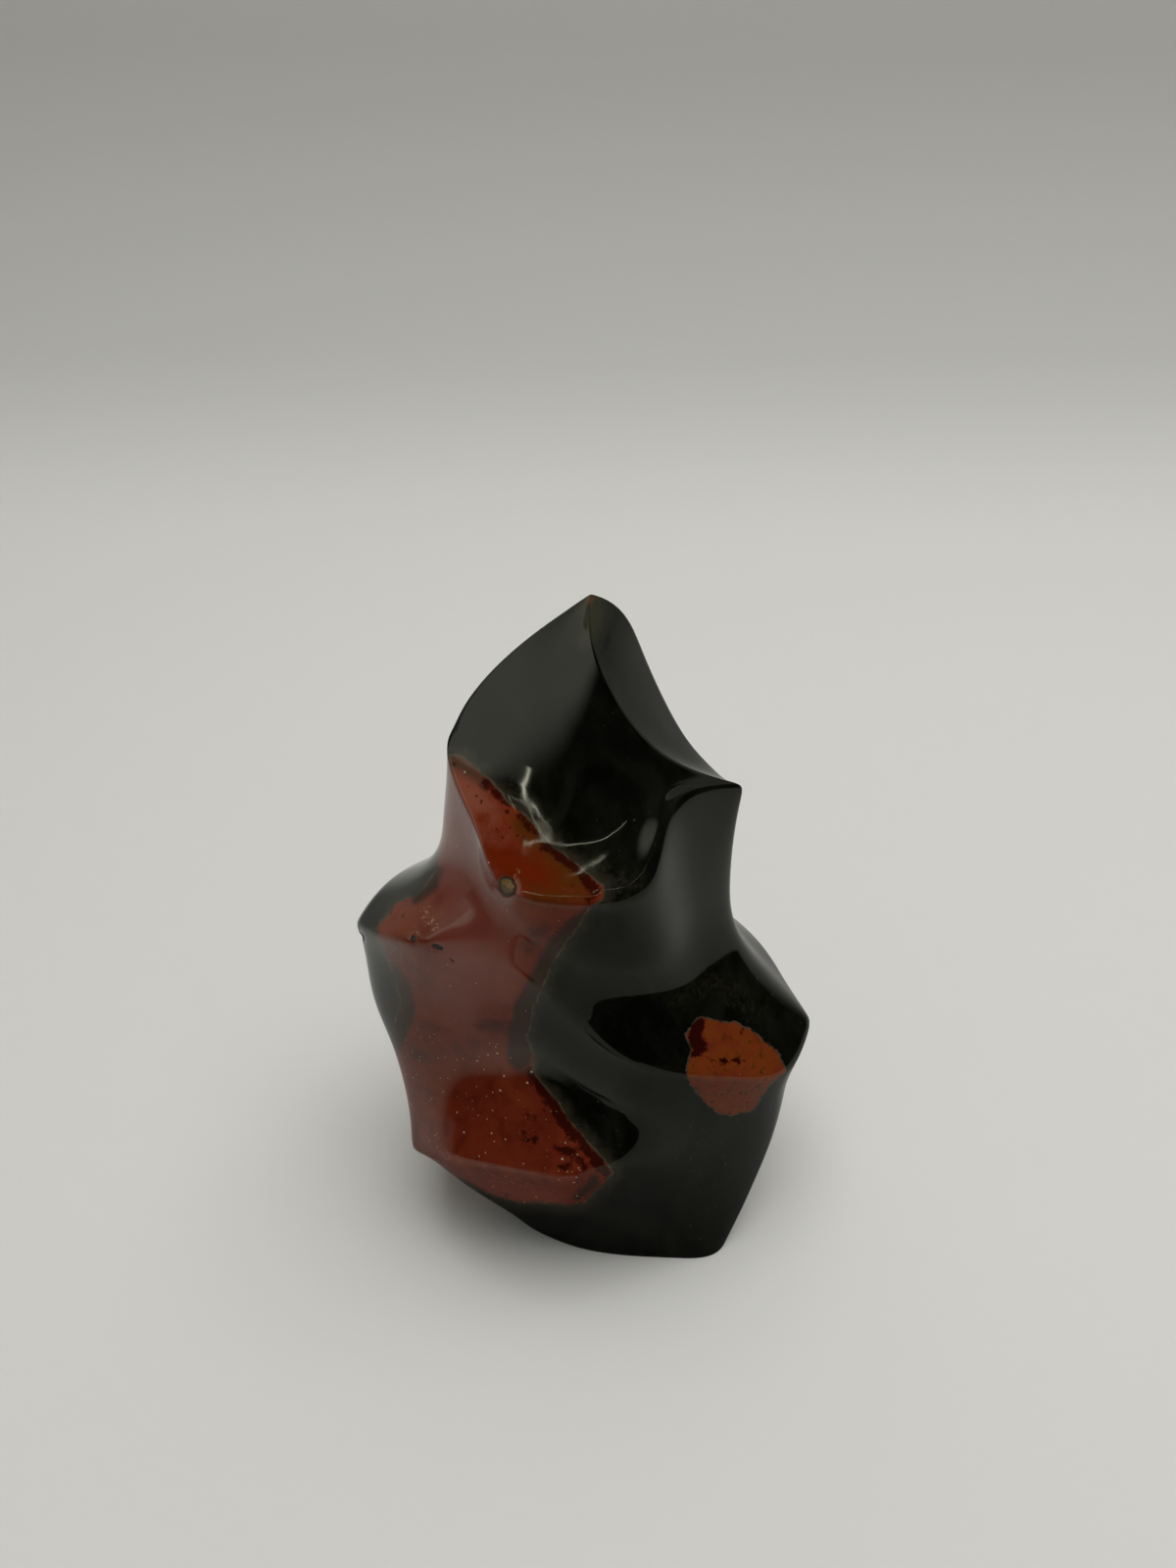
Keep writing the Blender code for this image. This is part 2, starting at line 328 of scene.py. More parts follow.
# %% Distances to outlines and strokes
def to_segment(points, a, b):
    """Distance of each point to the segment from a to b, and the share along it."""
    a, b = np.array(a, float), np.array(b, float)
    line = b - a
    share = np.clip((points - a) @ line / max(line @ line, 1e-9), 0, 1)
    return np.hypot(*(points - a - share[:, None] * line).T), share


def inside_outline(points, outline):
    """Signed distance in pixels to a closed outline, above zero inside it."""
    nearest = np.full(len(points), 1e9)
    crossings = np.zeros(len(points), bool)
    for a, b in zip(outline, outline[1:] + outline[:1]):
        nearest = np.minimum(nearest, to_segment(points, a, b)[0])
        spans = (a[1] > points[:, 1]) != (b[1] > points[:, 1])
        rise = b[1] - a[1] if b[1] != a[1] else 1e-9
        at = a[0] + (points[:, 1] - a[1]) / rise * (b[0] - a[0])
        crossings ^= spans & (points[:, 0] < at)
    return np.where(crossings, nearest, -nearest)


def inside_strokes(points, strokes):
    """Signed distance in pixels to brush strokes, each a list of (across, down, half width)."""
    best = np.full(len(points), -1e9)
    for stroke in strokes:
        for a, b in zip(stroke, stroke[1:] or stroke):
            away, share = to_segment(points, a[:2], b[:2])
            best = np.maximum(best, a[2] + (b[2] - a[2]) * share - away)
    return best


# %% The big red patch
# Down its right edge to the skirt, under the skirt, round the hidden left, and up the left arm.
RED_OUTLINE = [
    (458, 771), (474, 773), (485, 785), (503, 800), (517, 817), (538, 835), (563, 863), (577, 874),
    (599, 892), (615, 904), (615, 917), (599, 929), (586, 949), (570, 970), (560, 988), (552, 1009),
    (544, 1027), (540, 1048), (536, 1059), (544, 1077), (542, 1092), (556, 1110), (570, 1126), (581, 1144),
    (599, 1165), (615, 1183), (625, 1197), (613, 1210), (595, 1227), (577, 1229), (549, 1226), (528, 1226),
    (503, 1219), (474, 1204), (440, 1190), (400, 1200), (340, 1190), (330, 1130), (355, 1100), (392, 1082),
    (398, 1060), (409, 1027), (410, 1020), (396, 978), (384, 949), (394, 936), (405, 922), (413, 918),
    (426, 913), (442, 895), (448, 884), (448, 870), (450, 840), (457, 790),
]
# Lumps of the same red that surface on the far side: centre and radius in millimetres.
FAR_RED = [((8.0, 20.0, 52.0), 8.5), ((-15.0, 18.0, 28.0), 10.0), ((18.0, 14.0, 18.0), 7.0)]

# %% The small patch at the right arm
EMBER_OUTLINE = [
    (701, 1093), (706, 1071), (700, 1056), (712, 1039), (721, 1038), (733, 1043), (744, 1043), (759, 1047),
    (776, 1059), (791, 1072), (801, 1089), (802, 1093), (782, 1110), (769, 1133), (744, 1138), (733, 1136),
    (716, 1120), (703, 1103),
]

# %% Strokes of other colours
# Each stroke is a row of points with the half width there. The names are those of the colours further down;
# "dots" and "frost" say where small dark dots and white crystals may grow.
STROKES = {
    "maroon": [
        [(539, 1093, 4), (553, 1111, 6), (566, 1129, 6), (577, 1147, 6), (595, 1168, 6), (611, 1186, 7),
         (618, 1195, 5)],
        [(494, 798, 4), (507, 809, 4), (519, 820, 4)],
        [(530, 832, 3), (546, 848, 4), (566, 870, 4), (590, 889, 5), (606, 905, 7), (603, 918, 4)],
        [(712, 1044, 8), (708, 1060, 7), (716, 1068, 7), (705, 1078, 4)],
        [(728, 1085, 4)], [(739, 1083, 5)], [(751, 1081, 3)], [(757, 1083, 3)],
        [(570, 1171, 4), (584, 1177, 5)], [(593, 1186, 4), (596, 1192, 3)], [(538, 1138, 3), (546, 1141, 2)],
        [(530, 1158, 3), (546, 1163, 3)], [(572, 1192, 3), (582, 1190, 3)],
    ],
    "smear": [
        [(488, 1046, 4), (505, 1047, 6), (520, 1046, 3)], [(545, 952, 6), (556, 948, 4)],
        [(540, 966, 5), (548, 963, 4)], [(424, 1075, 5), (440, 1079, 4)],
    ],
    "umber": [
        [(601, 930, 6), (585, 945, 8), (567, 965, 9), (556, 985, 9), (545, 1008, 9), (535, 1030, 11),
         (530, 1055, 13), (530, 1080, 12)],
        [(402, 985, 4), (409, 1005, 8), (414, 1030, 10), (404, 1062, 8), (396, 1078, 5)],
        [(425, 918, 5), (440, 903, 6), (448, 888, 4)], [(606, 1206, 6), (590, 1222, 4)],
    ],
    "ochre": [
        [(532, 842, 9), (556, 864, 11), (576, 886, 13), (594, 903, 9)],
        [(545, 913, 6), (575, 915, 7), (592, 912, 8)], [(540, 876, 3), (562, 894, 6), (586, 906, 7)],
        [(528, 899, 3), (556, 909, 4)],
    ],
    "blaze": [
        [(500, 868, 8), (520, 882, 14), (545, 890, 15), (560, 898, 8)],
        [(492, 836, 6), (508, 850, 7)], [(437, 948, 7)], [(508, 876, 6), (520, 896, 7)],
    ],
    # The pale pink of the milk strokes is partly the stone's own and partly painted reflection of the pale
    # floor; the last stroke, under the skirt, is painted reflection alone.
    "milk_and_sheen": [
        [(458, 800, 16), (462, 870, 26), (485, 940, 34), (475, 1000, 34), (475, 1035, 16)],
        [(520, 960, 16), (508, 1010, 16)], [(420, 1184, 8), (480, 1212, 15), (560, 1222, 13)],
    ],
    "salmon": [
        [(462, 778, 10), (478, 800, 15), (492, 830, 14), (505, 852, 9)], [(395, 950, 8), (430, 935, 22)],
    ],
    "moss": [
        [(520, 800, 8), (575, 868, 12), (640, 905, 18)], [(640, 915, 14)],
        [(690, 1022, 6), (728, 1004, 12), (772, 1030, 10)],
    ],
    "cap": [[(463, 777, 8), (478, 784, 8), (494, 800, 5)]],
    "dots": [[(482, 806, 7), (500, 834, 11), (514, 850, 13), (536, 866, 10)]],
    "tip": [[(603, 607, 12), (602, 625, 14), (598, 650, 8)]],
    "rust": [[(602, 612, 3.5)]],
    "frost": [[(434, 930, 4), (439, 940, 5), (446, 946, 3)], [(424, 952, 2)]],
}

# %% Pits, each with its half width across and down
PITS = [(517, 905, 11, 13), (421, 958, 3.5, 5), (446, 967, 7, 3.5), (369, 956, 2, 4), (462, 980, 3, 2)]


# %% Storing the distances on the mesh
def store(name, values):
    """A number for every point of the body, in millimetres where it is a distance."""
    layer = body.data.attributes.new(name, "FLOAT", "POINT")
    layer.data.foreach_set("value", np.asarray(values, np.float32))


LUMP_WANDER = 3.0
KEPT_IN_FRONT = 6.0 * behind  # taken off small patches, so that they don't show through at the back
far_red = np.full(len(places), -1e9)
for centre, radius in FAR_RED:
    away = np.linalg.norm(places + LUMP_WANDER * drift - np.array(centre), axis=1)
    far_red = np.maximum(far_red, radius - away)
store("red", np.maximum(inside_outline(spots, RED_OUTLINE) * PIXEL, far_red))
store("ember", inside_outline(spots, EMBER_OUTLINE) * PIXEL - KEPT_IN_FRONT)
for name, strokes in STROKES.items():
    store(name, inside_strokes(spots, strokes) * PIXEL - KEPT_IN_FRONT)
print("outlines stored:", ", ".join(["red", "ember", *STROKES]))

# %% [markdown]
# ## Pits: a small Geometry Nodes tree
#
# Polishing never fills the natural holes of the stone. The largest show as small hollows with a dull floor.
# They are real dents here, because a dent in a mirror-like surface bends the reflections at its rim. A
# pit's depth is stored for every point, and a short tree with one named input pushes the points in along
# the surface normal.

# %% How deep each point sinks
PIT_RIM_REACH = 1.25
depth_share = np.zeros(len(places))
for across, down, half_across, half_down in PITS:
    reach = np.hypot((spots[:, 0] - across) / half_across, (spots[:, 1] - down) / half_down)
    depth_share = np.maximum(depth_share, np.clip(PIT_RIM_REACH - reach, 0, 1) * (1 - behind))
store("pit", depth_share)

# The first and largest pit holds a yellow nodule, the others are bare.
across, down, half_across, half_down = PITS[0]
store("nodule", np.hypot(spots[:, 0] - across, spots[:, 1] - down) < 3 * half_across)
print("points in pits:", int((depth_share > 0).sum()))


# %% The tree that sinks them
def sink_tree():
    """A node tree that pushes points in along their normals by the stored pit value times a depth."""
    tree = bpy.data.node_groups.new("sink_pits", "GeometryNodeTree")
    tree.interface.new_socket("Geometry", in_out="INPUT", socket_type="NodeSocketGeometry")
    depth = tree.interface.new_socket("Depth", in_out="INPUT", socket_type="NodeSocketFloat")
    tree.interface.new_socket("Geometry", in_out="OUTPUT", socket_type="NodeSocketGeometry")
    made = {kind: tree.nodes.new(kind) for kind in (
        "NodeGroupInput", "NodeGroupOutput", "GeometryNodeInputNamedAttribute", "GeometryNodeInputNormal",
        "GeometryNodeSetPosition", "ShaderNodeMath", "ShaderNodeVectorMath")}
    made["GeometryNodeInputNamedAttribute"].inputs["Name"].default_value = "pit"
    made["ShaderNodeMath"].operation = "MULTIPLY"
    made["ShaderNodeVectorMath"].operation = "SCALE"
    entry, sink = made["NodeGroupInput"], made["ShaderNodeMath"]
    push, move = made["ShaderNodeVectorMath"], made["GeometryNodeSetPosition"]
    link = tree.links.new
    link(made["GeometryNodeInputNamedAttribute"].outputs["Attribute"], sink.inputs[0])
    link(entry.outputs["Depth"], sink.inputs[1])
    link(made["GeometryNodeInputNormal"].outputs["Normal"], push.inputs[0])
    link(sink.outputs[0], push.inputs["Scale"])
    link(entry.outputs["Geometry"], move.inputs["Geometry"])
    link(push.outputs[0], move.inputs["Offset"])
    link(move.outputs["Geometry"], made["NodeGroupOutput"].inputs["Geometry"])
    return tree, depth.identifier


PIT_DEPTH = 0.45  # millimetres
sinking = body.modifiers.new("sink_pits", "NODES")
sinking.node_group, depth_socket = sink_tree()
sinking[depth_socket] = -PIT_DEPTH * MM
stone = bpy.data.objects.new(NAME, plain_mesh(body, NAME))
SCENE.collection.objects.link(stone)
print("stone:", len(stone.data.polygons), "faces, box in mm:", [round(d / MM, 1) for d in stone.dimensions])

# %% [markdown]
# ## The mineral: how the patches are coloured
#
# All patches share one polish, so they share one material. What differs is colour. Each patch needs the
# same thing from its stored distance: a mask whose edge is frayed by noise and more or less soft. That is
# built once, as a node group with named inputs, and placed for every patch with its own values.

# %% Small helpers for shader trees
def node(tree, kind, values=None, **settings):
    """A new node with settings, and with values or links for its inputs by name or number."""
    made = tree.nodes.new(kind)
    for key, value in settings.items():
        setattr(made, key, value)
    for key, value in (values or {}).items():
        if isinstance(value, bpy.types.NodeSocket):
            tree.links.new(value, made.inputs[key])
        else:
            made.inputs[key].default_value = value
    return made


def math_node(tree, operation, *values):
    """One step of arithmetic on numbers or links."""
    return node(tree, "ShaderNodeMath", dict(enumerate(values)), operation=operation).outputs[0]


def product(tree, first, *others):
    """All the values multiplied, as for masks that must all hold."""
    for value in others:
        first = math_node(tree, "MULTIPLY", first, value)
    return first


def smooth_step(tree, value, low, high, least=0.0):
    """Rises smoothly from the least value at low to 1 at high."""
    limits = {"From Min": low, "From Max": high, "To Min": least}
    made = node(tree, "ShaderNodeMapRange", {"Value": value, **limits}, interpolation_type="SMOOTHSTEP")
    return made.outputs["Result"]


def blend_colour(tree, share, first, second):
    """One colour over another: share 0 shows the first and 1 the second."""
    return node(tree, "ShaderNodeMix", {0: share, 6: first, 7: second}, data_type="RGBA").outputs[2]


# %% The frayed edge, as a node group
def frayed_edge_group():
    """Turns a stored distance into a mask, with a coarse and a fine fray. Sizes are in millimetres."""
    group = bpy.data.node_groups.new("frayed_edge", "ShaderNodeTree")
    for title, default in (("Distance", 0.0), ("Fray", 0.3), ("Grain", 2.0), ("Softness", 0.1)):
        socket = group.interface.new_socket(title, in_out="INPUT", socket_type="NodeSocketFloat")
        socket.default_value = default
    group.interface.new_socket("Mask", in_out="OUTPUT", socket_type="NodeSocketFloat")
    entry, leave = group.nodes.new("NodeGroupInput"), group.nodes.new("NodeGroupOutput")
    place = node(group, "ShaderNodeTexCoord").outputs["Object"]
    frayed = entry.outputs["Distance"]
    for finer, strength in ((1.0, 2.0), (4.5, 0.9)):
        scale = math_node(group, "DIVIDE", finer / MM, entry.outputs["Grain"])
        ripple = node(group, "ShaderNodeTexNoise", {"Vector": place, "Scale": scale, "Detail": 3.0,
                                                    "Roughness": 0.6}).outputs["Fac"]
        swing = product(group, math_node(group, "SUBTRACT", ripple, 0.5), strength)
        frayed = math_node(group, "MULTIPLY_ADD", swing, entry.outputs["Fray"], frayed)
    low = math_node(group, "MULTIPLY", entry.outputs["Softness"], -1.0)
    mask = smooth_step(group, frayed, low, entry.outputs["Softness"])
    group.links.new(mask, leave.inputs["Mask"])
    return group


FRAYED_EDGE = frayed_edge_group()
print("node group:", FRAYED_EDGE.name)

# %% Colours, as linear values
# The dark stone, and what clouds it
DARK = (0.0016, 0.0018, 0.0010, 1)
DARK_CLOUD = (0.0068, 0.0073, 0.0050, 1)
MOSS = (0.038, 0.035, 0.019, 1)
RUST = (0.11, 0.042, 0.012, 1)
HALO = (0.029, 0.024, 0.0155, 1)
TAN = (0.070, 0.050, 0.030, 1)
# The red stone, from its ground colour to the veins in it
RED = (0.138, 0.0200, 0.0074, 1)
RED_DEEP = (0.100, 0.0130, 0.0052, 1)
RED_WARM = (0.172, 0.030, 0.0090, 1)
EMBER = (0.150, 0.0310, 0.0058, 1)
# Pale pink, partly painted reflection of the floor
PINK_AND_SHEEN = (0.205, 0.055, 0.040, 1)
SALMON = (0.195, 0.060, 0.034, 1)
OCHRE = (0.072, 0.0215, 0.0015, 1)
BLAZE = (0.120, 0.0120, 0.0008, 1)
UMBER = (0.027, 0.0120, 0.0070, 1)
SMEAR = (0.050, 0.0085, 0.0050, 1)
CAP = (0.055, 0.032, 0.020, 1)
MAROON = (0.022, 0.0022, 0.0012, 1)
# Crystals, specks and pits
FROST = (0.38, 0.24, 0.15, 1)
SPECK = (0.50, 0.36, 0.25, 1)
VUG = (0.045, 0.040, 0.036, 1)
NODULE = (0.135, 0.080, 0.024, 1)
PIT_RIM = (0.010, 0.008, 0.005, 1)

# %% The jasper's tree: coordinates, clouds and masks
jasper = bpy.data.materials.new("polished_jasper")
jasper.use_nodes = True
tree = jasper.node_tree
shader = tree.nodes["Principled BSDF"]
spot = node(tree, "ShaderNodeTexCoord").outputs["Object"]


def stored(name):
    """A distance or value that the mesh stores."""
    return node(tree, "ShaderNodeAttribute", attribute_name=name).outputs["Fac"]


def cloud(size, detail=3.0, roughness=0.5, stretch=(1, 1, 1), distortion=0.0):
    """Soft noise with features of about the given size in millimetres."""
    turned = node(tree, "ShaderNodeMapping", {"Vector": spot, "Scale": stretch}).outputs[0]
    return node(tree, "ShaderNodeTexNoise", {"Vector": turned, "Scale": 1 / (size * MM), "Detail": detail,
                                             "Roughness": roughness, "Distortion": distortion}).outputs["Fac"]


def ramp(value, low, high):
    """A smooth step from 0 at low to 1 at high."""
    return smooth_step(tree, value, low, high)


def edge(distance, fray, grain, softness):
    """The frayed edge group with this patch's own values."""
    values = {"Distance": distance, "Fray": fray, "Grain": grain, "Softness": softness}
    return node(tree, "ShaderNodeGroup", values, node_tree=FRAYED_EDGE).outputs["Mask"]


# %% [markdown]
# The dark stone isn't black paint. It has soft grey-green mist, finer streaks, a speckled green growth near
# the red, an olive tip with one rusty spot, and a pale halo where it meets the red. Each is one layer over
# the last.

# %% The dark jasper
mist = ramp(cloud(7.0, detail=5, stretch=(1, 1, 0.5), distortion=1.4), 0.40, 0.72)
grit = ramp(cloud(0.7, detail=5, roughness=0.7), 0.38, 0.68)
growth = product(tree, edge(stored("moss"), 1.8, 3.0, 1.8), grit, 0.35)
tip = edge(stored("tip"), 1.2, 2.0, 2.2)
rust = edge(stored("rust"), 0.7, 0.8, 0.5)
streaks = product(tree, ramp(cloud(1.7, detail=5, stretch=(1, 1, 0.4), roughness=0.65), 0.48, 0.74), 0.55)
halo = product(tree, edge(math_node(tree, "ADD", stored("red"), 1.1), 1.3, 2.2, 1.2), 0.9)

dark = DARK
for share, layer in ((mist, DARK_CLOUD), (growth, MOSS), (tip, MOSS), (rust, RUST), (streaks, DARK_CLOUD),
                     (halo, HALO)):
    dark = blend_colour(tree, share, dark, layer)

# %% [markdown]
# The red stone is mottled in itself, and softer colours run through it. They are painted from the widest
# and palest to the narrowest and darkest, so that the maroon veins end up on top. The palest, the pink of
# the milk strokes, is partly painted reflection of the pale floor.

# %% The red jasper
mottle = cloud(2.6, detail=6, roughness=0.65)
red = blend_colour(tree, ramp(mottle, 0.32, 0.58), RED_DEEP, RED)
red = blend_colour(tree, ramp(cloud(6.0, detail=4), 0.48, 0.72), red, RED_WARM)
# Stroke, colour, fray, grain and softness in millimetres, and how much of the colour at most
for name, layer, fray, grain, softness, most in (
    # The milk strokes' pink is partly painted floor reflection.
    ("milk_and_sheen", PINK_AND_SHEEN, 2.0, 5.0, 2.6, 0.70),
    ("salmon", SALMON, 1.6, 2.0, 1.6, 0.75),
    ("ochre", OCHRE, 2.2, 1.5, 1.6, 0.90),
    ("blaze", BLAZE, 2.0, 1.6, 1.6, 0.90),
    ("umber", UMBER, 0.5, 2.4, 0.6, 0.92),
    ("smear", SMEAR, 1.0, 1.2, 0.9, 0.75),
    ("cap", CAP, 0.8, 1.2, 0.9, 0.85),
    ("maroon", MAROON, 1.1, 0.9, 0.30, 0.90),
):
    red = blend_colour(tree, product(tree, edge(stored(name), fray, grain, softness), most), red, layer)
crystals = product(tree, edge(stored("frost"), 1.1, 0.7, 0.4),
                   ramp(cloud(0.35, detail=4, roughness=0.7), 0.50, 0.66))
red = blend_colour(tree, crystals, red, FROST)

# %% The smaller, more orange patch
ember = blend_colour(tree, ramp(mottle, 0.30, 0.58), RED, EMBER)
ember = blend_colour(tree, ramp(cloud(1.1, detail=4), 0.56, 0.70), ember, OCHRE)
ember = blend_colour(tree, edge(stored("maroon"), 0.65, 0.8, 0.20), ember, MAROON)


# %% [markdown]
# A fine tan line runs round each patch, worn away here and there. It is what is left when the patch's own
# mask is taken from a slightly wider one with the same fray.

# %% The patches laid into the dark stone
def patch(name, fray, grain, softness, line_width, line_softness):
    """The mask of a patch, and that of the fine line round it."""
    inside = edge(stored(name), fray, grain, softness)
    wider = edge(math_node(tree, "ADD", stored(name), line_width), fray, grain, line_softness)
    return inside, math_node(tree, "SUBTRACT", wider, inside)


red_mask, red_line = patch("red", 0.42, 1.6, 0.07, 0.29, 0.18)
ember_mask, ember_line = patch("ember", 0.45, 1.3, 0.08, 0.20, 0.12)
colour = blend_colour(tree, red_mask, dark, red)
colour = blend_colour(tree, ember_mask, colour, ember)
worn = ramp(cloud(1.4, detail=3), 0.32, 0.58)
for line in (red_line, ember_line):
    colour = blend_colour(tree, product(tree, line, worn), colour, TAN)


# %% [markdown]
# Close up, the red is full of tiny white crystals, thick in the lower part and rare above it, and of dark
# red dots near its edge. Both are the centres of Voronoi cells, and only some of the cells are chosen.

# %% Specks and dots
def specks(radius, share, spread):
    """Dots of about the given radius in millimetres, in a share of the cells that are spread apart."""
    cells = node(tree, "ShaderNodeTexVoronoi", {"Vector": spot, "Scale": 1 / (spread * MM)})
    near = ramp(cells.outputs["Distance"], radius / spread, 0.5 * radius / spread)
    chosen = node(tree, "ShaderNodeSeparateColor", {"Color": cells.outputs["Color"]}).outputs["Red"]
    return product(tree, near, math_node(tree, "LESS_THAN", chosen, share))


def either(*masks):
    """The strongest of some masks at each point."""
    first = masks[0]
    for mask in masks[1:]:
        first = math_node(tree, "MAXIMUM", first, mask)
    return first


RARE_ABOVE, THICK_BELOW = 0.039, 0.033  # heights in metres
height = node(tree, "ShaderNodeSeparateXYZ", {0: spot}).outputs[2]
thick = math_node(tree, "MULTIPLY_ADD", ramp(height, RARE_ABOVE, THICK_BELOW), 0.72, 0.09)
flock = ramp(cloud(9.0), 0.30, 0.60)
pale = either(product(tree, specks(0.13, thick, 0.85), flock), specks(0.20, thick, 2.0))
pale = product(tree, pale, math_node(tree, "MULTIPLY_ADD", red_mask, 0.80, 0.06))
large_dots = product(tree, specks(0.38, 0.26, 1.9), ramp(stored("red"), 4.0, 0.8))
small_dots = product(tree, specks(0.20, 0.45, 0.8), ramp(stored("dots"), -0.4, 0.8))
dots = either(product(tree, either(large_dots, small_dots), red_mask),
              product(tree, specks(0.36, 0.25, 1.3), ember_mask))
colour = blend_colour(tree, product(tree, dots, 0.8), colour, MAROON)
colour = blend_colour(tree, pale, colour, SPECK)

# %% Pits: a dark rim, and a floor of dull crystals or of the yellow nodule
uneven = math_node(tree, "ADD", cloud(0.6, detail=4, roughness=0.65), 0.55)
lumps = product(tree, stored("pit"), uneven)
pit_edge, pit_floor = ramp(lumps, 0.30, 0.50), ramp(lumps, 0.50, 0.72)
colour = blend_colour(tree, pit_edge, colour, PIT_RIM)
colour = blend_colour(tree, pit_floor, colour, blend_colour(tree, stored("nodule"), VUG, NODULE))
tree.links.new(colour, shader.inputs["Base Color"])
print("colour layers done:", len(tree.nodes), "nodes")

# %% [markdown]
# ## The polish
#
# A lapidary's polish on jasper is close to a mirror, but it isn't perfect: hand work leaves broad, very
# faint waves, and softer mineral takes a little less shine. A faint bump and a small change of roughness
# say both. The pits stay dull and rough.

# %% Roughness and faint waves
GLOSS, SOFT_SPOTS, DULL = 0.035, 0.025, 0.55
WAVE_DEPTH, FLOOR_DEPTH = 0.03 * MM, 0.25 * MM
softer = ramp(cloud(2.2, detail=4), 0.35, 0.75)
roughness = math_node(tree, "MULTIPLY_ADD", softer, SOFT_SPOTS, GLOSS)
roughness = node(tree, "ShaderNodeMix", {0: pit_edge, 2: roughness, 3: DULL}).outputs[0]
tree.links.new(roughness, shader.inputs["Roughness"])
waves = node(tree, "ShaderNodeBump", {"Height": cloud(7.0, detail=2), "Distance": WAVE_DEPTH})
rough_floor = node(tree, "ShaderNodeBump", {"Height": product(tree, cloud(0.5, detail=3), pit_edge),
                                            "Distance": FLOOR_DEPTH, "Normal": waves.outputs[0]})
tree.links.new(rough_floor.outputs[0], shader.inputs["Normal"])
shader.inputs["IOR"].default_value = 1.54
shader.inputs["Specular IOR Level"].default_value = 0.36
shader.inputs["Specular Tint"].default_value = (0.97, 1.0, 0.86, 1)
stone.data.materials.clear()
stone.data.materials.append(jasper)
print("jasper:", len(tree.nodes), "nodes")

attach(stone, "root")
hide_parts("flame_stone")

# %% [markdown]
# ## The studio
#
# The stone stands on pale paper that sweeps up behind it, under one wide soft light. A stone this dark and
# this glossy shows what is around it more than its own colour, so its surroundings are made as carefully as
# the stone: its polish should show pale paper to the left, at the back and close to the right, and dark in
# front. A studio gets that with black flags just outside the picture. Here painted shade goes on the paper
# itself in parts, but only where the polish looks at it, by the Light Path node, so the floor that the camera
# sees stays plain. All distances below are in metres from the stone's middle.

# %% What the polish sees of the paper
PAPER = (0.72, 0.715, 0.68, 1)
SHADE = (0.012, 0.012, 0.010, 1)
# Painted shade on the sweep: up the curve and the wall the paper is darker, for the light that falls off
# there.
WALL_SHADE_SHARE, WALL_SHADE_FROM, WALL_SHADE_FULL = 0.80, 0.012, 0.055
# How bright the paper looks in the polish in each part: a share below 1 is painted shade, in the SHADE colour
NEAR_SHARE, FOOT_SHADOW_SHARE, RIGHT_SHARE, GAP_SHARE, BACK_SHARE = 0.92, 0.08, 0.56, 0.60, 0.50
# Painted contact shadow: the paper that the polish sees is darker close round the foot.
FOOT_SHADOW_FROM, FOOT_SHADOW_FULL = 0.012, 0.075
FRONT_EDGE, FRONT_SOFT, FRONT_STEP, FRONT_FEATHER = -0.070, 0.006, 0.18, 0.17
LEFT_EDGE, LEFT_FAR = -0.09, -0.25
RIGHT_EDGE, RIGHT_SOFT = 0.19, 0.012
BACK_EDGE, BACK_SOFT, BACK_SLOPE = -0.02, 0.03, 0.15

paper_finish = bpy.data.materials.new("pale_paper")
paper_finish.use_nodes = True
sheet = paper_finish.node_tree
sheet_shader = sheet.nodes["Principled BSDF"]
sheet_shader.inputs["Roughness"].default_value = 0.7
sheet_shader.inputs["Specular IOR Level"].default_value = 0.2
sheet_spot = node(sheet, "ShaderNodeTexCoord").outputs["Object"]
across, away, up = node(sheet, "ShaderNodeSeparateXYZ", {0: sheet_spot}).outputs
from_foot = node(sheet, "ShaderNodeVectorMath", {0: sheet_spot}, operation="LENGTH").outputs["Value"]


def fade(value, low, high, least=0.0):
    """A smooth step over the paper."""
    return smooth_step(sheet, value, low, high, least)


# %% Where it is lit
# The front edge steps nearer to the viewer at the right, and is feathered at the left.
front = math_node(sheet, "MULTIPLY_ADD", fade(across, -0.03, 0.05), FRONT_STEP, away)
front_from = math_node(sheet, "MULTIPLY_ADD", fade(across, -0.02, -0.07), -FRONT_FEATHER,
                       FRONT_EDGE - FRONT_SOFT)
# The first factor is the painted contact shadow round the foot.
near = product(sheet, fade(from_foot, FOOT_SHADOW_FROM, FOOT_SHADOW_FULL, FOOT_SHADOW_SHARE), NEAR_SHARE,
               fade(front, front_from, FRONT_EDGE + FRONT_SOFT), fade(across, LEFT_FAR, LEFT_EDGE),
               fade(across, RIGHT_EDGE + RIGHT_SOFT, RIGHT_EDGE - RIGHT_SOFT),
               fade(across, 0.02, -0.05, RIGHT_SHARE))
# A small lit gap in the dark front, which the waist of the red patch reflects
gap = product(sheet, fade(across, -0.036, -0.028), fade(across, 0.024, 0.014), fade(away, -0.084, -0.096),
              fade(away, -0.158, -0.148), GAP_SHARE)
# The paper behind the stone starts on a slightly slanted line.
back = math_node(sheet, "MULTIPLY_ADD", across, -BACK_SLOPE, away)
back = product(sheet, fade(back, BACK_EDGE, BACK_EDGE + BACK_SOFT), BACK_SHARE)
lit = math_node(sheet, "MAXIMUM", math_node(sheet, "MAXIMUM", near, back), gap)

# Painted shade: where the polish looks at paper outside the lit parts, the paper takes the dark SHADE colour.
glossy = node(sheet, "ShaderNodeLightPath").outputs["Is Glossy Ray"]
painted_shade_in_polish = product(sheet, math_node(sheet, "SUBTRACT", 1.0, lit), glossy)
